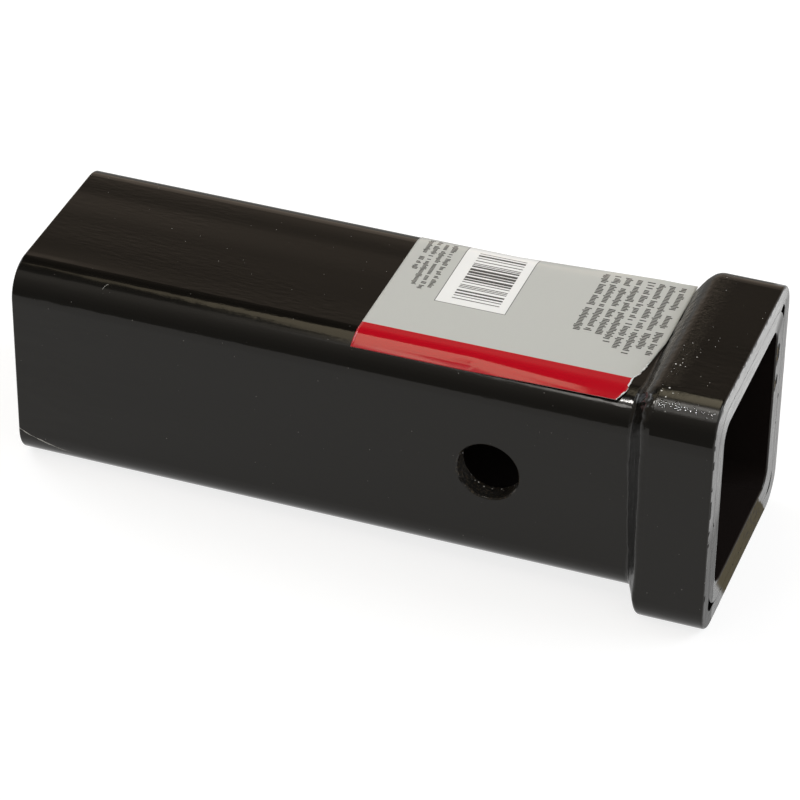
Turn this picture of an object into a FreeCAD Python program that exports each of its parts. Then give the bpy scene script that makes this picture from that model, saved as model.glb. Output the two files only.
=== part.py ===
import FreeCAD, Part
import math
import os

# Weld-on trailer hitch receiver: a square steel tube that takes a ball mount's shank, a collar that
# keeps its mouth from spreading, the fillet weld behind the collar, and a label wrapped over the top.
# The origin is the centre of the mouth on the tube's axis.  +X points out of the mouth and +Z is up.

# Driving dimensions, in millimetres and degrees
tube_size = 63.5
tube_wall = 5.55
tube_length = 203.2
tube_outer_radius = 9.6
tube_inner_radius = 5.0
cut_edge_ease = 0.5

pin_hole_diameter = 17.5
pin_hole_setback = 63.5
pin_hole_ease = 0.4

collar_wall = 5.1
collar_length = 19.0
collar_inner_radius = 4.3
collar_clearance = 0.15
collar_front_ease = 0.7
collar_back_round = 1.5

weld_leg = 5.0
weld_toe_height = 0.4
weld_hollow = 0.5

label_length = 78.0
label_width = 56.0
label_thickness = 0.2
label_weld_gap = 2.4
label_skew = 1.0

# Sizes that follow from the driving ones
tube_opening = tube_size - 2 * tube_wall
collar_opening = tube_size + 2 * collar_clearance
collar_size = collar_opening + 2 * collar_wall
collar_outer_radius = collar_inner_radius + collar_wall
weld_toe_x = -collar_length - weld_leg

X_AXIS = FreeCAD.Vector(1, 0, 0)
Y_AXIS = FreeCAD.Vector(0, 1, 0)
Z_AXIS = FreeCAD.Vector(0, 0, 1)


def outward(angle):
    """The unit vector across the tube at this angle from +Y towards +Z."""
    return FreeCAD.Vector(0, math.cos(math.radians(angle)), math.sin(math.radians(angle)))


def rounded_square(size, radius, x):
    """A square outline with rounded corners, centred on the tube's axis in the plane at x."""
    flat = size / 2 - radius
    corners = []
    for side_y, side_z, start in ((1, 1, 0), (-1, 1, 90), (-1, -1, 180), (1, -1, 270)):
        centre = FreeCAD.Vector(x, side_y * flat, side_z * flat)
        corners.append(Part.Arc(*[centre + outward(start + turn) * radius for turn in (0, 45, 90)]))
    edges = []
    for corner, following in zip(corners, corners[1:] + corners[:1]):
        edges.append(corner.toShape())
        edges.append(Part.LineSegment(corner.EndPoint, following.StartPoint).toShape())
    return Part.Wire(edges)


def square_bar(size, radius, x_back, x_front):
    """A solid bar of rounded square section between two planes."""
    section = Part.Face(rounded_square(size, radius, x_back))
    return section.extrude(X_AXIS * (x_front - x_back))


def square_ring(outer_size, outer_radius, inner_size, inner_radius, x_back, x_front):
    """A length of square tube between two planes."""
    outside = square_bar(outer_size, outer_radius, x_back, x_front)
    return outside.cut(square_bar(inner_size, inner_radius, x_back, x_front))


def rim(shape, x, size):
    """The edges in the plane at x that belong to the square outline of this size."""
    edges = []
    for edge in shape.Edges:
        points = edge.discretize(3)
        in_plane = all(abs(point.x - x) < 1e-4 for point in points)
        reach = max(max(abs(point.y), abs(point.z)) for point in points)
        if in_plane and abs(reach - size / 2) < 1e-4:
            edges.append(edge)
    return edges


def pin_hole_cutter():
    """The cross hole through both side walls, with its two outer rims eased."""
    radius = pin_hole_diameter / 2
    centre = FreeCAD.Vector(-pin_hole_setback, 0, 0)
    cutter = Part.makeCylinder(radius, tube_size, centre - Y_AXIS * (tube_size / 2), Y_AXIS)
    for out in (Y_AXIS, Y_AXIS * -1):
        rim_start = centre + out * (tube_size / 2 - pin_hole_ease)
        flare = Part.makeCone(radius, radius + pin_hole_ease, pin_hole_ease, rim_start, out)
        cutter = cutter.fuse(flare)
    return cutter


def receiver_tube():
    """Square tube with rolled corners, eased where it was cut, and drilled across for the pin."""
    tube = square_ring(tube_size, tube_outer_radius, tube_opening, tube_inner_radius, -tube_length, 0)
    back_rims = rim(tube, -tube_length, tube_size) + rim(tube, -tube_length, tube_opening)
    tube = tube.makeFillet(cut_edge_ease, back_rims + rim(tube, 0, tube_opening))
    return tube.cut(pin_hole_cutter())


def reinforcing_collar():
    """Square ring that slips over the tube and ends flush with the mouth."""
    ring = square_ring(
        collar_size, collar_outer_radius, collar_opening, collar_inner_radius, -collar_length, 0)
    ring = ring.makeFillet(collar_front_ease, rim(ring, 0, collar_size))
    return ring.makeFillet(collar_back_round, rim(ring, -collar_length, collar_size))


def collar_weld():
    """Slightly hollow fillet weld all round, from its toe on the tube to the collar's back face."""
    toe_size = tube_size + 2 * weld_toe_height
    toe_radius = tube_outer_radius + weld_toe_height
    top_size = collar_size - 2 * collar_back_round
    top_radius = collar_outer_radius - collar_back_round
    middle_size = (toe_size + top_size) / 2 - 2 * weld_hollow
    middle_radius = (toe_radius + top_radius) / 2
    bead = Part.makeLoft([
        rounded_square(toe_size, toe_radius, weld_toe_x),
        rounded_square(middle_size, middle_radius, weld_toe_x + weld_leg / 2),
        rounded_square(top_size, top_radius, -collar_length),
    ], True)
    return bead.cut(square_bar(tube_size, tube_outer_radius, weld_toe_x, -collar_length))


def top_label():
    """Thin label over the top flat and part of both upper corners, stuck on slightly askew."""
    front = weld_toe_x - label_weld_gap
    back = front - label_length
    skin_size = tube_size + 2 * label_thickness
    skin_radius = tube_outer_radius + label_thickness
    skin = square_ring(
        skin_size, skin_radius, tube_size, tube_outer_radius, back - label_width, front + label_width)
    corner = FreeCAD.Vector(back, -label_width / 2, 0)
    sheet = Part.makeBox(label_length, label_width, skin_size, corner)
    sheet.rotate(FreeCAD.Vector((back + front) / 2, 0, 0), Z_AXIS, label_skew)
    return skin.common(sheet)


os.makedirs("parts", exist_ok=True)
pieces = {
    "receiver_tube": receiver_tube(),
    "reinforcing_collar": reinforcing_collar(),
    "collar_weld": collar_weld(),
    "top_label": top_label(),
}
for name, shape in pieces.items():
    shape.exportStep("parts/" + name + ".step")
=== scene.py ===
import math
import random
from functools import partial

import bmesh
import bpy
from mathutils import Matrix, Vector, noise


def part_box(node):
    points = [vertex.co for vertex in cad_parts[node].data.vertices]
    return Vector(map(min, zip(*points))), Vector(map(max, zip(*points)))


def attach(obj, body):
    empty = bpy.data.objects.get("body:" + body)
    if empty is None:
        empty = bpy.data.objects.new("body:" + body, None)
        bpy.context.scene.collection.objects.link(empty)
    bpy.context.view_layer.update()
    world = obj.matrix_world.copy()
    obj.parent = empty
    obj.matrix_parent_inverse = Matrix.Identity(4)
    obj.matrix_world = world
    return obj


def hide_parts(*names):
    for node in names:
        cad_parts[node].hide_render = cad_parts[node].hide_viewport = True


# Trailer hitch receiver: gloss black enamel over a welded steel tube and collar, with a label on top.
# Lengths are in metres.  The mouth faces +X, the near side is -Y and the tube's axis is the X axis.
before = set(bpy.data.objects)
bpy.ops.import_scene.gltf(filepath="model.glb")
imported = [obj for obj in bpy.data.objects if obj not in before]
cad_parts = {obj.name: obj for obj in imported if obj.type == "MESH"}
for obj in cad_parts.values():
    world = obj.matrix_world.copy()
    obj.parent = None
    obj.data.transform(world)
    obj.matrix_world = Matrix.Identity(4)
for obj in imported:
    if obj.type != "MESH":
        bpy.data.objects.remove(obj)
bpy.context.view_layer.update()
MM = 0.001

# Sizes that the frame gives
tube_low, tube_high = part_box("receiver_tube")
collar_low, collar_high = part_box("reinforcing_collar")
tube_back = tube_low.x
tube_half = tube_high.z
collar_back = collar_low.x
collar_half = collar_high.z
weld_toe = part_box("collar_weld")[0].x
label_low_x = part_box("top_label")[0].x

# Sizes that the frame doesn't give
tube_corner = 9.6 * MM
tube_flat = tube_half - tube_corner
mouth_half = 26.2 * MM
collar_corner = 9.4 * MM
collar_back_round = 1.5 * MM
collar_gap_half = 31.9 * MM
collar_gap_corner = 4.3 * MM
pin_hole_x = -63.5 * MM
pin_hole_radius = 8.75 * MM

# The four sides in the order the weld runs: top, near, bottom, far
SIDES = (Vector((0, 0, 1)), Vector((0, -1, 0)), Vector((0, 0, -1)), Vector((0, 1, 0)))
FLAT_SHARE = 0.72
ALONG = Vector((1, 0, 0))


def smooth(low, high, value):
    """0 below low, 1 above high, and an even ease between them."""
    share = min(max((value - low) / (high - low), 0.0), 1.0)
    return share * share * (3 - 2 * share)


def on_square(place, half, corner):
    """Point and outward direction on a rounded square outline.  The whole part of place is the side,
    and the rest runs along the side's flat up to FLAT_SHARE and then round the corner after it."""
    side = int(place) % 4
    share = place - int(place)
    out = SIDES[side]
    onward = SIDES[(side + 1) % 4]
    flat = half - corner
    if share <= FLAT_SHARE:
        return out * half + onward * flat * (2 * share / FLAT_SHARE - 1), out.copy()
    turn = (share - FLAT_SHARE) / (1 - FLAT_SHARE) * math.pi / 2
    facing = out * math.cos(turn) + onward * math.sin(turn)
    return (out + onward) * flat + facing * corner, facing


def add_object(name, data):
    """Puts a mesh, a lamp or a camera into the scene."""
    made = bpy.data.objects.new(name, data)
    bpy.context.scene.collection.objects.link(made)
    return made


def mesh_piece(name, points, faces, material):
    """A smooth-shaded mesh that belongs to the object, with its faces turned outward."""
    mesh = bpy.data.meshes.new(name)
    mesh.from_pydata(points, [], faces)
    shell = bmesh.new()
    shell.from_mesh(mesh)
    bmesh.ops.recalc_face_normals(shell, faces=shell.faces)
    shell.to_mesh(mesh)
    shell.free()
    mesh.shade_smooth()
    mesh.materials.append(material)
    piece = add_object(name, mesh)
    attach(piece, "root")
    return piece


def ring_faces(rows, columns, closed_rows=True):
    """Quads of a grid whose columns close on themselves, as its rows do unless told otherwise."""
    faces = []
    for row in range(rows if closed_rows else rows - 1):
        after = (row + 1) % rows
        for column in range(columns):
            beside = (column + 1) % columns
            faces.append((row * columns + column, row * columns + beside,
                          after * columns + beside, after * columns + column))
    return faces


# Node helpers
def is_socket(value):
    return isinstance(value, bpy.types.NodeSocket)


def feed(socket, value):
    """Links another socket to an input, or sets the input's value."""
    if is_socket(value):
        value.id_data.links.new(value, socket)
    else:
        socket.default_value = value


def set_inputs(made, inputs):
    """Feeds several inputs of a node, by name or number."""
    for key, value in inputs.items():
        feed(made.inputs[key], value)


def node(kind, inputs={}, tree=None, **properties):
    """Adds a node to a tree, or to the tree of the sockets that feed it, and sets it up."""
    tree = tree or next(value.id_data for value in inputs.values() if is_socket(value))
    made = tree.nodes.new("ShaderNode" + kind)
    for name, value in properties.items():
        setattr(made, name, value)
    set_inputs(made, inputs)
    return made


def calc(operation, first, second=0.0, third=0.0, clamp=False):
    """Adds one sum."""
    inputs = {0: first, 1: second, 2: third}
    return node("Math", inputs, operation=operation, use_clamp=clamp).outputs[0]


plus = partial(calc, "ADD")
minus = partial(calc, "SUBTRACT")
divided = partial(calc, "DIVIDE")
scaled = partial(calc, "MULTIPLY_ADD")
larger = partial(calc, "MAXIMUM")
above = partial(calc, "GREATER_THAN")
below = partial(calc, "LESS_THAN")
unsigned = partial(calc, "ABSOLUTE")


def times(first, *others):
    """The product of two or more values."""
    for other in others:
        first = calc("MULTIPLY", first, other)
    return first


def split(vector):
    """The X, Y and Z of a vector."""
    return node("SeparateXYZ", {0: vector}).outputs


def split_colour(colour):
    return node("SeparateColor", {"Color": colour}).outputs


def surface_facing(position):
    """The X, Y and Z of the direction that the surface faces, in the tree that this position is in."""
    return split(node("NewGeometry", tree=position.id_data).outputs["Normal"])


def grain(position, scale, detail=2.0, roughness=0.5, offset=(0, 0, 0), stretch=None):
    """Noise from 0 to 1, with scale in cycles per metre, drawn out along axes whose stretch is small."""
    if stretch:
        position = node("VectorMath", {0: position, 1: stretch}, operation="MULTIPLY").outputs[0]
    moved = node("VectorMath", {0: position, 1: offset}, operation="ADD").outputs[0]
    inputs = {"Vector": moved, "Scale": scale, "Detail": detail, "Roughness": roughness}
    return node("TexNoise", inputs).outputs["Fac"]


def cells(position, scale, **properties):
    """Scattered cells: the distance from each one's middle, and its random colour."""
    inputs = {"Vector": position, "Scale": scale, "Randomness": 1.0}
    return node("TexVoronoi", inputs, **properties).outputs


def ease(value, low, high):
    """0 below low and 1 above high, or the other way round if low is the larger."""
    inputs = {"Value": value, "From Min": low, "From Max": high}
    return node("MapRange", inputs, interpolation_type="SMOOTHSTEP", clamp=True).outputs["Result"]


def between(value, low, high, soft):
    """1 from low to high, with soft edges."""
    return times(ease(value, low - soft, low + soft), ease(value, high + soft, high - soft))


def blend(share, first, second):
    return node("Mix", {0: share, 6: first, 7: second}, data_type="RGBA").outputs[2]


def set_relief(shader, height):
    """Joins a bump height in metres to a shader."""
    bump = node("Bump", {"Height": height, "Strength": 1.0, "Distance": 1.0})
    feed(shader.inputs["Normal"], bump.outputs["Normal"])


def new_group(name, inputs, outputs):
    """An empty shader node group with named sockets."""
    tree = bpy.data.node_groups.new(name, "ShaderNodeTree")
    for label, kind, start in inputs:
        socket = tree.interface.new_socket(label, in_out="INPUT", socket_type="NodeSocket" + kind)
        socket.default_value = start
    for label, kind in outputs:
        tree.interface.new_socket(label, in_out="OUTPUT", socket_type="NodeSocket" + kind)
    return tree, tree.nodes.new("NodeGroupInput").outputs, tree.nodes.new("NodeGroupOutput").inputs


def use_group(group, **values):
    """Places a group in a tree, with its inputs by name, spaces as underscores."""
    inputs = {key.replace("_", " "): value for key, value in values.items()}
    return node("Group", inputs, node_tree=group).outputs


def new_material(name):
    material = bpy.data.materials.new(name)
    material.use_nodes = True
    tree = material.node_tree
    return material, tree, tree.nodes["Principled BSDF"]


def bare_material(name):
    """A material that has no nodes yet."""
    material, tree, _ = new_material(name)
    tree.nodes.clear()
    return material, tree


def object_position(tree):
    return node("TexCoord", tree=tree).outputs["Object"]


# Enamel colours and gloss
ENAMEL_BLACK = (0.0038, 0.0034, 0.0028, 1)
DUST_GREY = (0.34, 0.33, 0.31, 1)
# Painted glints: white specks on the collar's top and in the pin hole
PAINTED_GLINT_WHITE = (0.80, 0.79, 0.76, 1)
# Painted reflection of the shadowed floor in the mouth's lower wall, plain and darker
SHADOW_REFLECTION_BROWN = (0.062, 0.048, 0.018, 1)
SHADOW_REFLECTION_DARK = (0.030, 0.023, 0.014, 1)
CHIP_BROWN = (0.080, 0.056, 0.024, 1)
SCRATCH_GREY = (0.60, 0.59, 0.56, 1)
ENAMEL_IOR = 1.35
ENAMEL_TINT = (1.0, 0.97, 0.92, 1)
HOLE_BLACK = (0.0030, 0.0025, 0.0020, 1)
# Painted reflection of the floor's light on the pin hole's wall
HOLE_REFLECTION_BROWN = (0.048, 0.037, 0.024, 1)
# Painted light: the tube's inner walls are lighter and warmer than the enamel
INSIDE_PAINTED_LIGHT = (0.013, 0.010, 0.009, 1)
SAWN_GREY = (0.030, 0.029, 0.027, 1)
PIT_BLACK = (0.002, 0.002, 0.002, 1)

# Relief of the paint, of the marks in it and of the label's paper
drawn_relief = 2.4e-6
ripple_relief = 3.8e-5
speck_relief = 2.0e-5
streak_relief = 7.0e-5
dent_relief = 1.6e-4
pit_depth = 8.0e-4
chip_depth = 6.0e-4
hole_relief = 3.0e-4
lump_relief = 1.5e-4
mottle_relief = 1.8e-4
bead_line_relief = 3.2e-5
bead_blotch_relief = 1.3e-4
cockle_relief = 1.4e-5
coating_relief = 6.0e-7
fibre_relief = 2.0e-5
far_edge_rise = 1.5e-4
top_wall_lean = 0.20
near_wall_lean = 0.09
collar_lean = 0.024
collar_roll = 1.0 * MM

# Grain drawn out along a cut wall has a small first factor and hardly any third one
STREAK_STRETCH = (0.12, 1, 0.05)
DENT_STRETCH = (0.45, 1, 0.05)
PATCH_STRETCH = (0.25, 1, 0.05)
PIT_STRETCH = (0.6, 1, 0.05)
NICK_STRETCH = (1, 0.4, 0.05)


def enamel_group():
    """Brushed-on gloss enamel: orange peel, the rolled steel's waviness under it, smudges and dust specks."""
    tree, given, out = new_group(
        "gloss enamel",
        [("Position", "Vector", (0, 0, 0)), ("Wave Height", "Float", 0.0), ("Peel Height", "Float", 0.0),
         ("Dust", "Float", 0.5), ("Gloss Roughness", "Float", 0.12)],
        [("Color", "Color"), ("Roughness", "Float"), ("Height", "Float")])
    position = given["Position"]
    wave = grain(position, 34, detail=1.0, roughness=0.35, stretch=(0.07, 1, 1))
    drawn = grain(position, 700, detail=3.0, stretch=(0.03, 1, 1))
    peel = grain(position, 520, detail=2.5)
    smudge = grain(position, 55, detail=3.0, stretch=(0.6, 1, 1))
    ripple = grain(position, 850, detail=2.5, stretch=(0.30, 1, 1))
    rippled = ease(grain(position, 38, offset=(2, 5, 1), stretch=(0.5, 1, 1)), 0.40, 0.62)
    spots = cells(position, 330.0)
    reach = scaled(split_colour(spots["Color"])["Red"], 0.065, 0.012)
    speck = ease(spots["Distance"], reach, 0.006)
    speck = calc("MULTIPLY", speck, given["Dust"], clamp=True)
    feed(out["Color"], blend(speck, ENAMEL_BLACK, DUST_GREY))
    shine = scaled(smudge, 0.10, given["Gloss Roughness"])
    feed(out["Roughness"], scaled(speck, 0.4, shine))
    height = times(minus(wave, 0.5), given["Wave Height"])
    height = scaled(minus(peel, 0.5), given["Peel Height"], height)
    height = scaled(minus(drawn, 0.5), drawn_relief, height)
    ripple = times(minus(ripple, 0.5), rippled)
    height = scaled(ripple, ripple_relief, height)
    feed(out["Height"], scaled(speck, speck_relief, height))
    return tree


def cut_end_group():
    """Saw-cut ends under the paint: streaks along each wall, pits along the seam and chips, with painted
    light on the inner walls and a painted reflection along the mouth's lower wall.
    """
    tree, given, out = new_group(
        "cut end",
        [("Position", "Vector", (0, 0, 0)), ("Color", "Color", ENAMEL_BLACK), ("Roughness", "Float", 0.1),
         ("Height", "Float", 0.0)],
        [("Color", "Color"), ("Roughness", "Float"), ("Height", "Float"), ("Coat", "Float")])
    position = given["Position"]
    x, y, z = split(position)
    endwise = unsigned(surface_facing(position)["X"])
    end = ease(endwise, 0.90, 0.97)
    mouth = times(end, ease(x, -4 * MM, -1 * MM))
    wide = unsigned(y)
    tall = unsigned(z)
    on_side = above(wide, tall)
    from_axis = larger(wide, tall)
    along = node("Mix", {0: on_side, 2: y, 3: z}).outputs[0]
    flat = node("CombineXYZ", {0: along, 1: from_axis, 2: on_side}).outputs[0]
    streak = grain(flat, 800, detail=3.0, roughness=0.65, stretch=STREAK_STRETCH)
    dents = grain(flat, 300, roughness=0.6, stretch=DENT_STRETCH)
    patchy = ease(grain(flat, 260, stretch=PATCH_STRETCH), 0.42, 0.62)
    # Pits where the paint hasn't closed the seam between the tube and the collar
    seam = between(from_axis, tube_half - 0.35 * MM, tube_half + 0.55 * MM, 0.3 * MM)
    pit = ease(grain(flat, 480, stretch=PIT_STRETCH), 0.645, 0.68)
    pit = times(pit, seam, mouth)
    # Chips through to brown along the far wall's inner edge, with a wider dark rim
    rim = between(y, mouth_half - 1.5 * MM, mouth_half + 2.0 * MM, 1.2 * MM)
    wide_rim = between(y, mouth_half - 1.5 * MM, mouth_half + 3.4 * MM, 1.0 * MM)
    upper_chip = between(z, 13.0 * MM, 20.0 * MM, 2.0 * MM)
    lower_chip = between(z, 4.2 * MM, 9.6 * MM, 2.0 * MM)
    edge = times(larger(upper_chip, lower_chip), mouth, grain(position, 420, detail=3.0, roughness=0.6))
    flake = times(edge, rim)
    chip = ease(flake, 0.42, 0.45)
    chip_rim = ease(times(edge, wide_rim), 0.38, 0.42)
    # Nicks in the outer edge
    outer = ease(from_axis, collar_half - 1.6 * MM, collar_half - 0.4 * MM)
    nick = ease(grain(flat, 330, offset=(4, 2, 7), stretch=NICK_STRETCH), 0.52, 0.57)
    pit = larger(pit, times(nick, outer, end))
    hollow = larger(pit, chip_rim)
    # Painted reflection of the shadowed floor beside the mouth: brown along the lower wall, with slanting
    # ends, darker blotches and spots
    blotch = grain(position, 240, detail=3.0, roughness=0.6)
    low = times(ease(z, -25.5 * MM, -26.3 * MM), mouth)
    slant = scaled(blotch, 5.0 * MM, scaled(z, 0.9, y))
    shadow_reflection = times(low, ease(slant, -48.0 * MM, -42.5 * MM), ease(slant, -2.6 * MM, -4.4 * MM))
    spots = ease(grain(position, 620, detail=3.0, roughness=0.6), 0.50, 0.60)
    spots = times(spots, between(slant, -21 * MM, -6 * MM, 3 * MM))
    darker = scaled(blotch, -0.5, 0.45, clamp=True)
    shadow_reflection_colour = blend(darker, SHADOW_REFLECTION_BROWN, SHADOW_REFLECTION_DARK)
    shadow_reflection_colour = blend(spots, shadow_reflection_colour, SHADOW_REFLECTION_DARK)
    # Painted light on the tube's inner walls: a lighter, warmer colour than the enamel
    inside = times(ease(from_axis, mouth_half + 0.3 * MM, mouth_half + 0.1 * MM), ease(endwise, 0.6, 0.3))
    colour = blend(times(end, patchy), given["Color"], SAWN_GREY)
    colour = blend(inside, colour, INSIDE_PAINTED_LIGHT)
    colour = blend(shadow_reflection, colour, shadow_reflection_colour)
    colour = blend(hollow, colour, PIT_BLACK)
    feed(out["Color"], blend(chip, colour, CHIP_BROWN))
    sawn = times(end, streak)
    rough = scaled(sawn, 0.22, given["Roughness"])
    dull = larger(larger(shadow_reflection, chip), hollow)
    feed(out["Roughness"], larger(rough, times(dull, 0.85)))
    height = scaled(sawn, streak_relief, given["Height"])
    height = scaled(times(end, dents), dent_relief, height)
    height = scaled(hollow, -pit_depth, height)
    # The cut isn't quite square: the top wall leans in, and the lower part of the near wall out
    wall_middle = (mouth_half + collar_half) / 2
    top_wall = times(mouth, ease(minus(z, wide), -5 * MM, 8 * MM))
    top_slope = times(minus(z, wall_middle), top_wall_lean)
    height = scaled(top_wall, top_slope, height)
    near_wall = times(mouth, ease(y, -24 * MM, -27 * MM), ease(z, 6 * MM, -8 * MM))
    near_slope = minus(plus(y, wall_middle), z)
    height = scaled(times(near_wall, near_wall_lean), near_slope, height)
    flaked = times(ease(flake, 0.15, 0.42), scaled(blotch, 2.0, -0.2))
    feed(out["Height"], scaled(flaked, -chip_depth, height))
    # The top wall's paint is thick and shiny in streaks
    thick_paint = scaled(streak, 1.6, -0.2, clamp=True)
    feed(out["Coat"], times(top_wall, thick_paint))
    return tree


gloss_enamel = enamel_group()
cut_end = cut_end_group()


def finish_enamel(shader, colour, roughness, height):
    """Joins an enamel's colour, roughness and bump height in metres to its shader."""
    set_inputs(shader, {"Base Color": colour, "Roughness": roughness, "IOR": ENAMEL_IOR,
                        "Specular Tint": ENAMEL_TINT})
    set_relief(shader, height)


def scratch_mask(position):
    """A thin scratch that starts at the tube's back end and runs down the near side to the lower corner."""
    x, y, z = split(position)
    run = minus(x, tube_back)
    sag = scaled(times(run, run), 10.0, -20.9 * MM)
    level = scaled(run, -0.50, sag)
    wander = scaled(grain(position, 300), 0.7 * MM, -0.35 * MM)
    off = unsigned(minus(plus(z, wander), level))
    broken = ease(grain(position, 420, offset=(3, 1, 2)), 0.36, 0.56)
    width = scaled(broken, 0.22 * MM, 0.06 * MM)
    line = ease(off, width, times(width, 0.4))
    from_axis = larger(unsigned(y), unsigned(z))
    outside = times(ease(from_axis, 27.5 * MM, 28.5 * MM), ease(y, -18 * MM, -22 * MM),
                    ease(unsigned(surface_facing(position)["X"]), 0.7, 0.4))
    return times(line, times(outside, ease(run, 17 * MM, 9 * MM)))


def spatter_glint_mask(position):
    """Pale specks on top of the collar, thickest beside the weld on the near half: painted glints on spatter
    grains in the paint.
    """
    x, y, _ = split(position)
    spots = cells(position, 620.0, voronoi_dimensions="2D")
    pick = split_colour(spots["Color"])
    thick = times(ease(x, -10 * MM, -17 * MM), ease(y, 0.0, -9 * MM))
    chosen = below(pick["Red"], scaled(thick, 0.50, 0.06))
    size = scaled(calc("POWER", pick["Green"], 2.0), 0.16, 0.03)
    reach = times(size, scaled(thick, 0.6, 0.4))
    spot = ease(spots["Distance"], reach, times(reach, 0.6))
    return times(spot, chosen, ease(surface_facing(position)["Z"], 0.6, 0.8))


def hole_masks(position):
    """The pin hole's ragged rim and wall, the rough wall alone, and pale specks on its inner rim that are
    painted glints.
    """
    x, y, z = split(position)
    run = minus(x, pin_hole_x)
    from_middle = calc("SQRT", scaled(run, run, times(z, z)))
    ragged = scaled(grain(position, 900), 0.6 * MM, from_middle)
    deep = unsigned(y)
    hole = times(ease(ragged, pin_hole_radius + 0.80 * MM, pin_hole_radius + 0.65 * MM),
                 ease(deep, mouth_half - 0.1 * MM, mouth_half + 0.1 * MM))
    bored = times(hole, ease(deep, tube_half - 0.3 * MM, tube_half - 0.5 * MM))
    hole_glints = times(ease(cells(position, 900.0)["Distance"], 0.27, 0.16),
                   between(deep, mouth_half + 0.3 * MM, mouth_half + 1.5 * MM, 0.3 * MM), hole)
    return hole, bored, hole_glints


def nick_mask(position):
    """A short pale nick across the near upper corner, close to the back end."""
    x, y, z = split(position)
    side = plus(y, 27.2 * MM)
    wander = scaled(grain(position, 900), 0.8 * MM, 176.3 * MM)
    off = scaled(side, -0.7, plus(x, wander))
    line = ease(unsigned(off), 0.13 * MM, 0.05 * MM)
    reach = times(ease(unsigned(side), 0.9 * MM, 0.7 * MM), ease(z, 26 * MM, 28 * MM))
    return times(line, reach, 0.35)


def tube_marks(position, colour, roughness, height):
    """Scratch, nick, rough pin hole with a painted reflection and painted glints, lumpy paint near the back
    end and the top's turned-up far edge.
    """
    x, y, _ = split(position)
    hole, bored, hole_glints = hole_masks(position)
    pale = larger(scratch_mask(position), nick_mask(position))
    speckle = ease(grain(position, 1500, detail=3.0, roughness=0.6), 0.51, 0.61)
    # Painted reflection and glints in the pin hole: brown speckle for the floor's light on its wall, pale
    # specks on its inner rim
    colour = blend(hole, colour, blend(speckle, HOLE_BLACK, HOLE_REFLECTION_BROWN))
    colour = blend(pale, colour, SCRATCH_GREY)
    colour = blend(hole_glints, colour, PAINTED_GLINT_WHITE)
    roughness = scaled(larger(pale, bored), 0.35, roughness)
    lumps = grain(position, 240, detail=1.5, stretch=(0.35, 1, 1))
    lumpy = times(ease(x, tube_back + 45 * MM, tube_back + 12 * MM), ease(y, -20 * MM, -23 * MM))
    height = scaled(times(lumps, lumpy), lump_relief, height)
    coarse = times(minus(grain(position, 1100), 0.5), bored)
    height = scaled(coarse, hole_relief, height)
    far_edge = ease(y, 12 * MM, 21 * MM)
    return colour, roughness, scaled(far_edge, far_edge_rise, height)


def collar_marks(position, colour, roughness, height):
    """Painted glints on the top, gritty paint along the near upper corner, and the bent ring's slightly
    untrue sides.
    """
    x, y, z = split(position)
    # Painted glints: white specks where spatter grains in the paint catch the light
    grit = spatter_glint_mask(position)
    colour = blend(grit, colour, PAINTED_GLINT_WHITE)
    gritty = times(between(z, 34.3 * MM, 36.0 * MM, 0.8 * MM),
                   ease(y, -29 * MM, -30 * MM), ease(x, -18.5 * MM, -16.5 * MM))
    roughness = scaled(larger(grit, gritty), 0.46, roughness)
    outside = ease(unsigned(surface_facing(position)["X"]), 0.95, 0.05)
    beside_weld = times(ease(x, -10 * MM, -17.3 * MM),
                        ease(z, 34.5 * MM, 36.2 * MM), ease(y, -27.5 * MM, -25.0 * MM))
    mottle = grain(position, 950, detail=3.0, roughness=0.65)
    height = scaled(times(mottle, beside_weld), mottle_relief, height)
    lean = times(y, collar_lean)
    rolled = scaled(ease(z, 23.5 * MM, 31.5 * MM), -collar_roll, lean)
    return colour, roughness, scaled(rolled, outside, height)


def steel_enamel(name, wave_height, peel_height, dust, add_marks):
    """Enamel on a sawn length of rolled steel, with that piece's own marks."""
    material, tree, shader = new_material(name)
    position = object_position(tree)
    coat = use_group(gloss_enamel, Position=position, Wave_Height=wave_height,
                     Peel_Height=peel_height, Dust=dust, Gloss_Roughness=0.06)
    ends = use_group(cut_end, Position=position, Color=coat["Color"],
                     Roughness=coat["Roughness"], Height=coat["Height"])
    finish_enamel(shader, *add_marks(position, ends["Color"], ends["Roughness"], ends["Height"]))
    set_inputs(shader, {"Coat Weight": ends["Coat"], "Coat Roughness": 0.12})
    return material


def plain_enamel(name, roughness):
    """Enamel on the small bits of grit under the paint, smoother than the rest."""
    material, _, shader = new_material(name)
    set_inputs(shader, {"Base Color": ENAMEL_BLACK, "Roughness": roughness, "IOR": ENAMEL_IOR})
    return material


def bead_enamel(name):
    """Enamel over a weld, finely lined along its length and a little dusty."""
    material, tree, shader = new_material(name)
    position = object_position(tree)
    coat = use_group(gloss_enamel, Position=position, Wave_Height=0.0,
                     Peel_Height=1.2e-5, Dust=0.6, Gloss_Roughness=0.13)
    lines = grain(position, 1300, detail=3.0, roughness=0.6, stretch=(1, 0.045, 0.045))
    blotch = grain(position, 900, detail=3.0, roughness=0.6, stretch=(1, 0.5, 0.5))
    height = scaled(blotch, bead_blotch_relief, scaled(lines, bead_line_relief, coat["Height"]))
    finish_enamel(shader, coat["Color"], coat["Roughness"], height)
    return material


tube_enamel = steel_enamel("tube_enamel", wave_height=9.0e-4, peel_height=6.0e-6, dust=0.7,
                           add_marks=tube_marks)
collar_enamel = steel_enamel("collar_enamel", wave_height=3.0e-4, peel_height=9.0e-6, dust=0.9,
                             add_marks=collar_marks)
grain_enamel = plain_enamel("grain_enamel", roughness=0.05)
weld_enamel = bead_enamel("weld_enamel")

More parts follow.
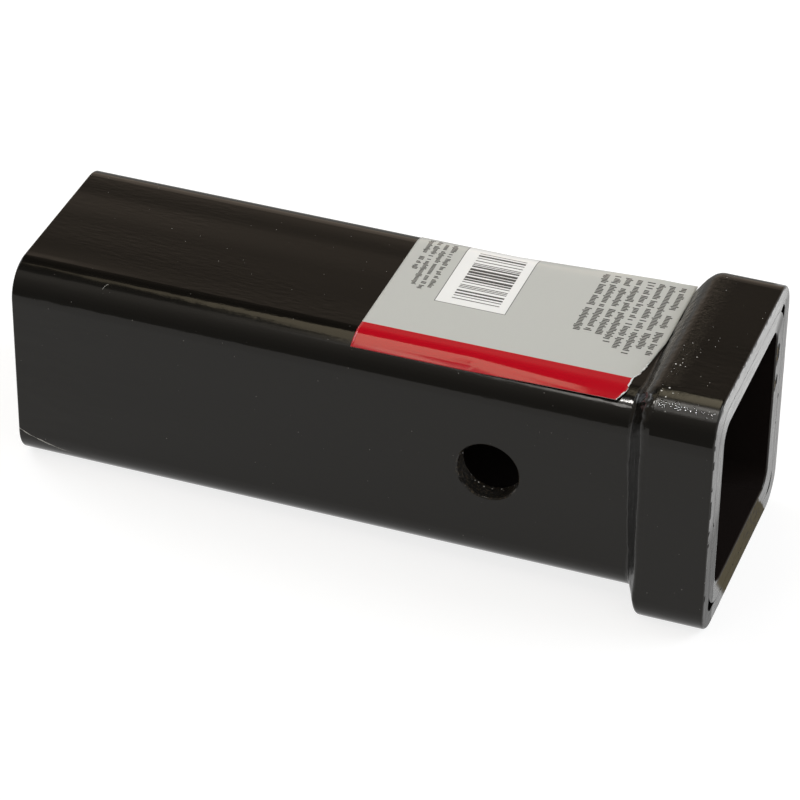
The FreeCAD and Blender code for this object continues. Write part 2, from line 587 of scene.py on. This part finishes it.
# Two nodes of the frame keep their shape and get a finish
for name, material in (("receiver_tube", tube_enamel), ("reinforcing_collar", collar_enamel)):
    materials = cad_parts[name].data.materials
    materials.clear()
    materials.append(material)

# Weld bead
BEAD_STEPS = 960
BEAD_ROWS = 36
bead_toe_sway = 0.35 * MM
bead_edge_sway = 0.25 * MM
bead_groove = 0.045 * MM
bead_ripple = 0.010 * MM
bead_ripple_pitch = 2.4 * MM
bead_sink = 0.03 * MM
bead_limit = collar_half - 0.005 * MM
# How the bead changes on its way, in millimetres: place round the tube, the toe's shift forward and its
# rounding, and the shift forward and rounding of the edge where the face meets the collar's outside
BEAD_STRETCHES = [(place, *(length * MM for length in lengths)) for place, *lengths in (
    (0.00, -0.4, 0.1, -1.05, 5.0), (0.40, -0.4, 0.3, -1.05, 4.6), (0.62, -0.6, 0.8, -1.00, 3.6),
    (0.84, -1.2, 1.2, -1.00, 2.4), (1.00, -1.0, 0.8, -0.80, 1.2), (1.15, -0.9, 0.5, -0.80, 0.7),
    (1.33, -0.5, 0.4, -0.70, 0.7), (1.58, 0.3, 0.4, -0.55, 0.7), (1.76, 0.4, 0.9, -0.50, 0.8),
    (1.88, 0.0, 2.2, -0.40, 1.0), (2.02, -0.2, 1.8, -0.60, 1.2), (2.72, 0.2, 0.6, -0.80, 1.5),
    (3.20, -0.3, 0.4, -1.05, 3.0), (3.70, -0.5, 0.1, -1.05, 4.6), (3.86, -1.7, 0.4, -1.30, 5.0),
    (4.00, -0.4, 0.1, -1.05, 5.0),
)]
# Where the bead was started and stopped, as places round the tube, with how far the lumps reach
BEAD_LUMPS = ((0.86, 0.09, 0.60 * MM), (1.93, 0.03, 0.35 * MM), (2.90, 0.05, 0.45 * MM))


def bead_stretch(place):
    """The toe's shift and rounding and the edge's shift and rounding, eased between the stretches."""
    for before, after in zip(BEAD_STRETCHES, BEAD_STRETCHES[1:]):
        if place <= after[0]:
            share = smooth(before[0], after[0], place)
            return [low + (high - low) * share for low, high in zip(before[1:], after[1:])]


def rounded_run(corners, roundings, count):
    """Evenly counted points along a line through these corners, with each inner corner rounded off."""
    path = [corners[0]]
    for before, corner, after, reach in zip(corners, corners[1:], corners[2:], roundings):
        back = corner + (before - corner).normalized() * min(reach, 0.98 * (before - corner).length)
        ahead = corner + (after - corner).normalized() * min(reach, 0.98 * (after - corner).length)
        for step in range(13):
            share = step / 12
            path.append(back * (1 - share) ** 2 + corner * 2 * share * (1 - share) + ahead * share ** 2)
    path.append(corners[-1])
    lengths = [0.0]
    for start, end in zip(path, path[1:]):
        lengths.append(lengths[-1] + (end - start).length)
    points = []
    piece = 0
    for step in range(count + 1):
        target = lengths[-1] * step / count
        while piece < len(path) - 2 and lengths[piece + 1] < target:
            piece += 1
        span = max(lengths[piece + 1] - lengths[piece], 1e-9)
        points.append(path[piece].lerp(path[piece + 1], (target - lengths[piece]) / span))
    return points


def bead_section(place):
    """Points across the weld at one place round the tube, from its toe over its face and down its heel."""
    foot, out = on_square(place, tube_half, tube_corner)
    crown, _ = on_square(place, collar_half - bead_sink, collar_corner - bead_sink)
    spot = foot / (14 * MM)
    toe_shift, toe_round, edge_shift, edge_round = bead_stretch(place)
    toe = weld_toe + toe_shift
    toe -= bead_toe_sway * (noise.noise(foot / (6 * MM)) + 0.5 * noise.noise(foot / (2 * MM)))
    edge = collar_back + edge_shift + bead_edge_sway * noise.noise(foot / (5 * MM) + Vector((3, 0, 0)))
    height = (crown - foot).length
    corners = [Vector((toe, 0)), Vector((toe + toe_round, 0)), Vector((edge, height)),
               Vector((collar_back + collar_back_round + 0.05 * MM, height))]
    leaning = (out - ALONG).normalized()
    travel = place * (2 * tube_flat + tube_corner * math.pi / 2)
    lumps = sum(size * math.exp(-((place - middle) / reach) ** 2) for middle, reach, size in BEAD_LUMPS)
    points = []
    for row, (x, rise) in enumerate(rounded_run(corners, (toe_round, edge_round), BEAD_ROWS)):
        share = row / BEAD_ROWS
        inside = math.sin(math.pi * share)
        groove = noise.noise(Vector((spot.y, spot.z, 7 * share))) + 0.6 * noise.noise(
            Vector((2.3 * spot.y, 2.3 * spot.z, 15 * share + 9)))
        bow = travel / bead_ripple_pitch + 0.6 * (share - 0.5) ** 2
        ripple = math.sin(2 * math.pi * bow + 2 * noise.noise(foot / (9 * MM)))
        lump = noise.noise(foot / (1.6 * MM) + Vector((share * 3, 0, 0)))
        offset = inside * (bead_groove * groove + bead_ripple * ripple + lumps * lump)
        point = ALONG * x + foot.lerp(crown, rise / height) + leaning * offset
        point.y = min(max(point.y, -bead_limit), bead_limit)
        point.z = min(max(point.z, -bead_limit), bead_limit)
        points.append(point)
    points[0] -= out * bead_sink
    points[-1] -= out * bead_sink
    heel, _ = on_square(place, collar_half - collar_back_round, collar_corner - collar_back_round)
    points.append(heel + ALONG * (collar_back + collar_back_round))
    points.append(foot - out * bead_sink + ALONG * (collar_back + bead_sink))
    return points


def weld_bead():
    """The fillet weld as laid: grooved along its length, with a wandering toe and lumps where it starts."""
    points = []
    for step in range(BEAD_STEPS):
        points.extend(bead_section(4 * step / BEAD_STEPS))
    columns = BEAD_ROWS + 3
    bead = mesh_piece("weld_bead", points, ring_faces(BEAD_STEPS, columns), weld_enamel)
    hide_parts("collar_weld")


weld_bead()

# Label sheet: along is the distance from its back edge, across from the top's middle, near side positive
label_back = label_low_x + 0.9 * MM
label_length = 79.8 * MM
label_width = 57.7 * MM
label_near_edge = 29.3 * MM
label_skew = 0.006
label_thickness = 0.10 * MM
label_bed = 0.04 * MM
label_climb = 0.16 * MM
label_climb_reach = 5.0 * MM
tear_start = 1.0 * MM
tear_corner = 17.0 * MM
tear_slope = 0.13
tear_notch = 1.2 * MM
tear_near = 1.5 * MM
tear_jag = 0.40 * MM
peel_start = 34.0 * MM
peel_back = 0.3 * MM
peel_front = 10.5 * MM
far_peel_start = 28.0 * MM
far_peel_end = 71.0 * MM
LABEL_COLUMNS = 110
LABEL_ROWS = 228


def label_front(across):
    """Length of the label at this distance across: torn back along the weld towards the near side."""
    torn = tear_slope * (min(max(across, tear_start), tear_corner) - tear_start)
    torn += tear_notch * smooth(tear_corner, tear_corner + 2.5 * MM, across)
    torn += tear_near * smooth(25.5 * MM, 29.3 * MM, across)
    ragged = smooth(8 * MM, 14 * MM, across)
    jag = noise.noise(Vector((across / (1.3 * MM), 3, 0)))
    jag += 0.7 * noise.noise(Vector((across / (0.5 * MM), 8, 0)))
    wander = noise.noise(Vector((across / (9 * MM), 5, 0)))
    return label_length - torn - tear_jag * (0.06 + ragged) * jag - 0.12 * MM * wander


def label_point(along, across):
    """Where the sheet lies: over the top and round both upper corners, peeling off them towards the front,
    where it climbs the weld's toe."""
    travel = across - label_skew * (along - label_length / 2)
    share = along / label_length
    bed = label_bed + label_thickness
    near = travel > 0
    if near:
        lifted = max(along - peel_start, 0.0) / (label_length - peel_start)
        bend = tube_corner + bed + peel_back + (peel_front - peel_back) * lifted
    else:
        lifted = min(max(along - far_peel_start, 0.0) / (far_peel_end - far_peel_start), 0.97)
        bend = (tube_corner + bed) / (1 - lifted)
    turn = max(abs(travel) - tube_flat, 0.0) / bend
    reach = min(abs(travel), tube_flat) + bend * math.sin(turn)
    y = -reach if near else reach
    z = tube_half + bed - bend * (1 - math.cos(turn))
    out = Vector((0, -math.sin(turn) if near else math.sin(turn), math.cos(turn)))
    rise = smooth(label_length - label_climb_reach, label_length, along)
    rise *= label_climb * (1 - 0.6 * smooth(-5 * MM, 14 * MM, across))
    buckle = 0.05 * MM * noise.noise(Vector((along / (11 * MM), across / (8 * MM), 4)))
    rise += max(buckle, 0.0) * smooth(0.4, 0.9, share)
    return Vector((label_back + along - label_skew * across, y, z)) + out * rise


def label_sheet(print_material, core_material):
    """The label as a thin sheet of paper, with one map for its print and one that starts at its tear."""
    points = []
    spots = []
    for row in range(LABEL_ROWS + 1):
        across = label_near_edge - label_width * (1 - row / LABEL_ROWS)
        front = label_front(across)
        for column in range(LABEL_COLUMNS + 1):
            along = front * column / LABEL_COLUMNS
            points.append(label_point(along, across))
            spots.append({"print": (along, across), "tear": (front - along, across)})
    columns = LABEL_COLUMNS + 1
    faces = []
    for row in range(LABEL_ROWS):
        for column in range(LABEL_COLUMNS):
            corner = row * columns + column
            faces.append((corner, corner + columns, corner + columns + 1, corner + 1))
    mesh = bpy.data.meshes.new("label_sheet")
    mesh.from_pydata(points, [], faces)
    mesh.shade_smooth()
    mesh.materials.append(print_material)
    mesh.materials.append(core_material)
    for name in ("print", "tear"):
        layer = mesh.uv_layers.new(name=name)
        for loop in mesh.loops:
            along, across = spots[loop.vertex_index][name]
            layer.data[loop.index].uv = (along / label_length, across / label_width + 0.5)
    sheet = add_object("label_sheet", mesh)
    if mesh.polygons[0].normal.z < 0:
        mesh.flip_normals()
    body = sheet.modifiers.new("paper", "SOLIDIFY")
    body.thickness = label_thickness
    body.offset = -1.0
    body.material_offset = 1
    body.material_offset_rim = 1
    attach(sheet, "root")
    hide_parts("top_label")


# Label print: fields of colour, plain bars and rows of short strokes that stand for text, in millimetres
LABEL_GREY = (0.545, 0.557, 0.533, 1)
LABEL_RED = (0.485, 0.002, 0.012, 1)
LABEL_WHITE = (0.90, 0.905, 0.90, 1)
LABEL_INK = (0.030, 0.029, 0.027, 1)
LABEL_SHADE = (0.47, 0.475, 0.45, 1)
PATCH_LINE = (0.10, 0.10, 0.10, 1)
PAPER_WHITE = (0.72, 0.71, 0.68, 1)
PAPER_SHADE = (0.50, 0.49, 0.46, 1)
band_edge = 19.8
patch_back, patch_front = 14.8, 34.8
patch_line_width = 0.22
print_blur = 0.05
patch_far, patch_near = -30.0, 3.2
bars_back, bars_front = 18.6, 32.3
bars_far, bars_near = -23.4, 0.7
bar_pitch = 0.35
bare_width = 0.55


def stroke_rows_group():
    """Rows of short strokes across the label that stand for lines of small print."""
    tree, given, out = new_group(
        "stroke rows",
        [("Along", "Float", 0.0), ("Across", "Float", 0.0), ("Start", "Float", 0.0), ("Pitch", "Float", 3.0),
         ("Rows", "Float", 4.0), ("Far Edge", "Float", -25.0), ("Longest", "Float", 30.0),
         ("Spread", "Float", 10.0), ("Stroke", "Float", 0.7), ("Seed", "Float", 0.0)],
        [("Ink", "Float")])
    place = divided(minus(given["Along"], given["Start"]), given["Pitch"])
    row = calc("FLOOR", place)
    within = calc("FRACT", place)
    lines = times(above(row, -0.5), below(row, minus(given["Rows"], 0.5)))
    reading = minus(given["Across"], given["Far Edge"])
    seeded = plus(row, given["Seed"])
    spot = node("CombineXYZ", {0: seeded, 1: 0.37}).outputs[0]
    short = node("TexWhiteNoise", {"Vector": spot}, noise_dimensions="2D").outputs["Value"]
    length = minus(given["Longest"], times(short, given["Spread"]))
    lines = times(lines, above(reading, 0.0), below(reading, length))
    stroke = divided(reading, given["Stroke"])
    cell = node("CombineXYZ", {0: calc("FLOOR", stroke), 1: seeded}).outputs[0]
    pick = node("TexWhiteNoise", {"Vector": cell}, noise_dimensions="2D").outputs["Color"]
    tall = split_colour(pick)
    gap = above(tall["Red"], 0.17)
    upper = scaled(above(tall["Green"], 0.62), 0.16, 0.60)
    lower = scaled(above(tall["Blue"], 0.80), -0.12, 0.18)
    body = times(ease(within, minus(lower, 0.03), lower), ease(within, plus(upper, 0.03), upper))
    stem = between(calc("FRACT", stroke), 0.08, 0.78, 0.05)
    feed(out["Ink"], times(times(body, stem), times(lines, gap)))
    return tree


def panel(along, across, along_range, across_range):
    """1 inside an upright rectangle of the print."""
    return times(between(along, *along_range, print_blur), between(across, *across_range, print_blur))


def printed_label():
    """Coated label stock: grey field, red edge band, white patch of bars and rows of strokes."""
    material, tree, shader = new_material("label_print")
    u, v, _ = split(node("UVMap", tree=tree, uv_map="print").outputs["UV"])
    along = times(u, label_length / MM)
    across = times(minus(v, 0.5), label_width / MM)
    position = object_position(tree)
    rows = stroke_rows_group()
    red = ease(across, band_edge - 0.06, band_edge + 0.06)
    patch = panel(along, across, (patch_back, patch_front), (patch_far, patch_near))
    frame_line = panel(along, across, (patch_back - patch_line_width, patch_front + patch_line_width),
                       (patch_far, patch_near + patch_line_width))
    bars = panel(along, across, (bars_back, bars_front), (bars_far, bars_near))
    # Of every four steps one is inked, the next one or two may be, and the last stays blank
    bar_place = calc("FLOOR", divided(across, bar_pitch))
    bar = node("TexWhiteNoise", {"W": bar_place}, noise_dimensions="1D").outputs["Value"]
    wanted = scaled(calc("FLOORED_MODULO", bar_place, 4.0), 0.34, 0.05)
    bars = times(bars, above(plus(bar, 0.10), wanted))
    back_rows = use_group(rows, Along=along, Across=across, Start=3.0, Pitch=2.4, Rows=4.0,
                          Far_Edge=-25.6, Longest=25.0, Spread=14.0, Stroke=0.62, Seed=3.0)["Ink"]
    front_rows = use_group(rows, Along=along, Across=across, Start=53.6, Pitch=3.12, Rows=8.0,
                           Far_Edge=-26.2, Longest=37.0, Spread=9.0, Stroke=0.72, Seed=41.0)["Ink"]
    ink = larger(larger(back_rows, front_rows), bars)
    mottle = grain(position, 900)
    colour = blend(times(mottle, 0.10), LABEL_GREY, LABEL_SHADE)
    colour = blend(red, colour, LABEL_RED)
    colour = blend(frame_line, colour, PATCH_LINE)
    colour = blend(patch, colour, LABEL_WHITE)
    colour = blend(times(ink, 0.94), colour, LABEL_INK)
    # White paper where the coating has come away along the tear
    tear = split(node("UVMap", tree=tree, uv_map="tear").outputs["UV"])
    left = times(tear["X"], label_length / MM)
    frayed = times(ease(mottle, 0.35, 0.65), bare_width)
    bare = times(ease(left, frayed, times(frayed, 0.7)), ease(across, 9.0, 13.0))
    feed(shader.inputs["Base Color"], blend(bare, colour, LABEL_WHITE))
    shine = scaled(grain(position, 70, detail=3.0), 0.06, 0.04)
    feed(shader.inputs["Roughness"], scaled(bare, 0.6, shine))
    cockle = times(grain(position, 110), cockle_relief)
    set_relief(shader, scaled(grain(position, 2600), coating_relief, cockle))
    return material


def paper_core():
    """Raw paper at the label's cut and torn edges and on its back."""
    material, tree, shader = new_material("label_core")
    fibres = grain(object_position(tree), 2200, detail=4.0, roughness=0.7)
    set_inputs(shader, {"Base Color": blend(fibres, PAPER_WHITE, PAPER_SHADE), "Roughness": 0.85})
    set_relief(shader, times(fibres, fibre_relief))
    return material


label_sheet(printed_label(), paper_core())

# Paint that bridges the seam between tube and collar at the mouth, except in the open corners
SEAM_STEPS = 480
seam_recess = 0.02 * MM
seam_depth = 1.2 * MM
seam_lap = 0.02 * MM
# Stretches of the outline that stay open: where each starts and ends, and the share that is filled there
SEAM_OPENINGS = ((1.79, 1.95, 0.0), (2.76, 2.96, 0.45), (3.785, 3.895, 0.0))


def seam_fill(place):
    """Share of the gap that the paint has closed at this place round the tube."""
    for start, end, filled in SEAM_OPENINGS:
        if start < place < end:
            return filled
    return 1.0


def seam_section(place):
    """Four points of the paint fillet, at the front and the back, from the tube out to the collar."""
    inner, out = on_square(place, tube_half, tube_corner)
    outer, _ = on_square(place, collar_gap_half, collar_gap_corner)
    reach = inner.lerp(outer, seam_fill(place))
    start = inner - out * seam_lap
    end = reach + (outer - inner).normalized() * seam_lap
    front = -ALONG * seam_recess
    back = -ALONG * seam_depth
    return [start + front, end + front, end + back, start + back]


def seam_paint():
    points = []
    faces = []
    run = []
    for step in range(SEAM_STEPS + 1):
        place = 4 * step / SEAM_STEPS
        if step < SEAM_STEPS and seam_fill(place) > 0:
            run.append(place)
        elif run:
            base = len(points)
            for spot in run:
                points.extend(seam_section(spot))
            last = base + 4 * (len(run) - 1)
            faces.append(tuple(range(base, base + 4)))
            faces.append(tuple(range(last, last + 4)))
            strip = ring_faces(len(run), 4, closed_rows=False)
            faces.extend(tuple(base + corner for corner in face) for face in strip)
            run = []
    piece = mesh_piece("seam_paint", points, faces, collar_enamel)
    piece.data.shade_flat()


seam_paint()

# Grit under the paint: low nibs along the collar's near upper corner
NIB_COUNT = 72
NIB_RINGS = 5
NIB_SIDES = 12
nib_sink = 0.006 * MM


def nib_spot(pick):
    """A random place, most of them in one row along the corner."""
    x = collar_back + 2.2 * MM + pick.random() ** 1.3 * 15.3 * MM
    turn = math.radians(pick.gauss(35, 3.8))
    out = Vector((0, -math.sin(turn), math.cos(turn)))
    centre = Vector((x, -(collar_half - collar_corner), collar_half - collar_corner))
    return centre + out * collar_corner, out


def grit_nibs():
    """Low round bumps, all one mesh."""
    pick = random.Random(11)
    points = []
    faces = []
    for _ in range(NIB_COUNT):
        spot, out = nib_spot(pick)
        radius = pick.uniform(0.15, 0.29) * MM
        crown_radius = 1.1 * 3.2 ** pick.random() * MM
        height = radius * radius / (2 * crown_radius) + nib_sink
        beside = out.cross(ALONG).normalized()
        base = len(points)
        for ring in range(NIB_RINGS):
            wide = 1 - ring / NIB_RINGS
            for side in range(NIB_SIDES):
                angle = 2 * math.pi * side / NIB_SIDES
                level = (ALONG * math.cos(angle) + beside * math.sin(angle)) * radius * wide
                points.append(spot + level + out * (height * (1 - wide * wide) - nib_sink))
        points.append(spot + out * (height - nib_sink))
        top = len(points) - 1
        strip = ring_faces(NIB_RINGS, NIB_SIDES, closed_rows=False)
        faces.extend(tuple(base + corner for corner in face) for face in strip)
        faces.append(tuple(range(base, base + NIB_SIDES)))
        crown = base + (NIB_RINGS - 1) * NIB_SIDES
        for side in range(NIB_SIDES):
            faces.append((crown + side, crown + (side + 1) % NIB_SIDES, top))
    mesh_piece("paint_grit", points, faces, grain_enamel)


grit_nibs()


# Studio pieces, which are no part of the object
def stage_plane(name, corners, material):
    """A flat piece of the studio."""
    mesh = bpy.data.meshes.new(name)
    mesh.from_pydata(corners, [], [(0, 1, 2, 3)])
    mesh.materials.append(material)
    plane = add_object(name, mesh)
    return plane


# Floor: it touches the collar's lower back edge and the tube's lower back edge
FLOOR_REACH = 12.0
FLOOR_GREY = (0.32, 0.32, 0.32, 1)
FLOOR_LIFT = 0.79


def floor():
    """White to the camera and in reflections, and grey for the light that it throws back."""
    rest = Vector((collar_back + collar_back_round, 0, -collar_half))
    heel = Vector((tube_back, 0, -tube_half))
    run = (rest - heel).normalized()
    across = Vector((0, 1, 0))
    corners = [rest + run * FLOOR_REACH * u + across * FLOOR_REACH * v
               for u, v in ((-1, -1), (1, -1), (1, 1), (-1, 1))]
    material, tree = bare_material("floor_white")
    ray = node("LightPath", tree=tree).outputs
    seen = plus(ray["Is Camera Ray"], ray["Is Glossy Ray"])
    seen = plus(seen, ray["Is Transmission Ray"], clamp=True)
    matt = node("BsdfDiffuse", {"Color": FLOOR_GREY}, tree)
    glow = node("Emission", {"Strength": times(seen, FLOOR_LIFT)})
    both = node("AddShader", {0: matt.outputs[0], 1: glow.outputs[0]})
    node("OutputMaterial", {"Surface": both.outputs[0]})
    stage_plane("floor", corners, material)


floor()

# Studio: brightness round the tube by the angle up from the front horizon over the top to the back one
STUDIO_ARC = (
    (0, 0.30), (23, 0.36), (43, 0.55), (55, 0.76), (66, 0.88), (72, 0.84), (77, 0.20), (92, 0.13),
    (112, 0.11), (118, 0.06), (128, 0.06), (137, 0.15), (143, 0.31), (149, 0.53), (160, 0.80), (172, 1.0),
)
FRONT_TINT = (1.0, 0.95, 0.88)
BACK_TINT = (1.0, 0.82, 0.66)
BACK_ANGLE = 110
LEFT_SIDE = (0.50, 0.45, 0.39, 1)
RIGHT_SIDE = (1.0, 1.0, 1.0, 1)
HORIZON_WHITE = 0.12


def studio_world():
    """Soft bands overhead, white at both ends and white all round near the horizon."""
    world = bpy.data.worlds.new("studio")
    world.use_nodes = True
    tree = world.node_tree
    tree.nodes.clear()
    aim = split(node("TexCoord", tree=tree).outputs["Generated"])
    forward = times(aim["Y"], -1.0)
    share = divided(calc("ARCTAN2", aim["Z"], forward), math.pi)
    ramp = node("ValToRGB", {0: share})
    stops = ramp.color_ramp.elements
    for _ in range(len(STUDIO_ARC) - 2):
        stops.new(0.5)
    for stop, (angle, level) in zip(stops, STUDIO_ARC):
        stop.position = angle / 180
        tint = BACK_TINT if angle > BACK_ANGLE else FRONT_TINT
        stop.color = tuple(level * part for part in tint) + (1,)
    ends = ease(unsigned(aim["X"]), 0.39, 0.74)
    horizon = ease(aim["Z"], HORIZON_WHITE, HORIZON_WHITE * 0.8)
    side = blend(above(aim["X"], 0.0), LEFT_SIDE, RIGHT_SIDE)
    colour = blend(ends, ramp.outputs["Color"], side)
    colour = blend(horizon, colour, (1, 1, 1, 1))
    backdrop = node("Background", {"Color": colour, "Strength": 1.0})
    node("OutputWorld", {"Surface": backdrop.outputs[0]})
    bpy.context.scene.world = world


studio_world()


def soft_lamp(name, place, aim, size, radiance, colour=(1, 1, 1)):
    """A rectangular lamp of this brightness, hidden from the camera."""
    lamp = bpy.data.lights.new(name, "AREA")
    lamp.shape = "RECTANGLE"
    lamp.size, lamp.size_y = size
    lamp.energy = radiance * math.pi * size[0] * size[1]
    lamp.color = colour
    holder = add_object(name, lamp)
    holder.location = place
    away = Vector(place) - Vector(aim)
    holder.rotation_euler = away.to_track_quat("Z", "Y").to_euler()
    holder.visible_camera = False
    return holder


def ceiling_lamp(name, x_range, y_range, height, radiance, colour, turn=0.0):
    """A level lamp overhead that spans these ranges, turned by some degrees about its middle."""
    middle = Vector((sum(x_range) / 2, sum(y_range) / 2, height))
    size = (x_range[1] - x_range[0], y_range[1] - y_range[0])
    lamp = soft_lamp(name, middle, middle - Vector((0, 0, 1)), size, radiance, colour)
    lamp.rotation_euler = (0, 0, math.radians(turn))


OBJECT_MIDDLE = (-0.10, 0.0, 0.0)
CEILING = 1.23
COOL = (0.86, 0.92, 1.0)
WARM = (1.0, 0.88, 0.64)
soft_lamp("key_left", (-1.30, 0.40, 0.95), OBJECT_MIDDLE, (0.8, 0.8), 4.5, COOL)
soft_lamp("key_right", (1.10, 0.40, 0.95), OBJECT_MIDDLE, (0.8, 0.8), 4.5, COOL)
sparkle = soft_lamp("sparkle", (-0.205, -0.335, 1.2), (0.0, 0.0, 0.0), (0.16, 0.11), 230.0)
sparkle.visible_diffuse = False
# One long lamp in pieces, thin and dim at its left end: x range, y range and brightness of each
STRIP_PIECES = (
    ((-0.70, -0.64), (0.22, 0.33), 1.1), ((-0.64, -0.575), (0.13, 0.34), 1.5),
    ((-0.575, -0.52), (0.00, 0.37), 2.4), ((-0.52, -0.485), (-0.22, 0.40), 2.5),
    ((-0.485, -0.435), (-0.62, 0.42), 2.5), ((-0.435, -0.395), (-0.22, 0.43), 2.5),
    ((-0.395, -0.365), (0.15, 0.44), 2.5),
)
for number, (x_range, y_range, radiance) in enumerate(STRIP_PIECES):
    ceiling_lamp(f"strip_left_{number}", x_range, y_range, CEILING, radiance, WARM)
ceiling_lamp("strip_right", (-0.325, -0.205), (0.16, 1.08), CEILING, 3.6, (1.0, 0.90, 0.67), turn=3.3)
# The upper rim of the front light, brightest at its right end
RIM_PIECES = (
    ((-0.56, -0.46), (-0.78, -0.62), 0.5), ((-0.46, -0.41), (-0.80, -0.66), 1.2),
    ((-0.41, -0.375), (-0.84, -0.67), 4.0), ((-0.375, -0.30), (-0.86, -0.66), 13.0),
)
for number, (x_range, y_range, radiance) in enumerate(RIM_PIECES):
    ceiling_lamp(f"front_rim_{number}", x_range, y_range, CEILING, radiance, (1, 1, 1))

# Dark screens: in front, so that the front horizon isn't mirrored in the near upper corner, and close
# behind, so that the far upper edge stands out against the white floor
FRONT_LEVEL = (0.30, 0.29, 0.27, 1)
BACK_LEVEL = (0.38, 0.37, 0.35, 1)


def dark_screen(name, x_range, y, z_range, level):
    """An upright sheet with a dim glow that shows only in reflections."""
    left, right = x_range
    low, high = z_range
    corners = [(left, y, low), (right, y, low), (right, y, high), (left, y, high)]
    material, tree = bare_material(name)
    glow = node("Emission", {"Color": level, "Strength": 1.0}, tree)
    node("OutputMaterial", {"Surface": glow.outputs[0]})
    screen = stage_plane(name, corners, material)
    screen.visible_camera = False
    screen.visible_shadow = False
    screen.visible_diffuse = False


dark_screen("front_screen", (-3, 3), -0.33, (-0.045, 0.09), FRONT_LEVEL)
dark_screen("back_screen", (-0.75, -0.02), 0.12, (-0.036, 0.045), BACK_LEVEL)

# Camera, at the photograph's angle
VIEW_AZIMUTH = math.radians(19.69)
VIEW_ELEVATION = math.radians(35.24)
VIEW_ROLL = math.radians(0.715)
VIEW_TARGET = Vector((-0.10012, 0, -0.00638))
VIEW_DISTANCE = 1.07406
VIEW_LENS = 172.91


def place_camera():
    back = Vector((math.sin(VIEW_AZIMUTH) * math.cos(VIEW_ELEVATION),
                   -math.cos(VIEW_AZIMUTH) * math.cos(VIEW_ELEVATION), math.sin(VIEW_ELEVATION)))
    level = Vector((math.cos(VIEW_AZIMUTH), math.sin(VIEW_AZIMUTH), 0))
    upright = back.cross(level)
    right = level * math.cos(VIEW_ROLL) + upright * math.sin(VIEW_ROLL)
    up = upright * math.cos(VIEW_ROLL) - level * math.sin(VIEW_ROLL)
    lens = bpy.data.cameras.new("camera")
    lens.lens = VIEW_LENS
    lens.sensor_width = 36.0
    lens.clip_end = 100.0
    camera = add_object("camera", lens)
    camera.matrix_world = Matrix((right, up, back)).transposed().to_4x4()
    camera.location = VIEW_TARGET + back * VIEW_DISTANCE
    bpy.context.scene.camera = camera


place_camera()
bpy.context.scene.view_settings.view_transform = "Standard"
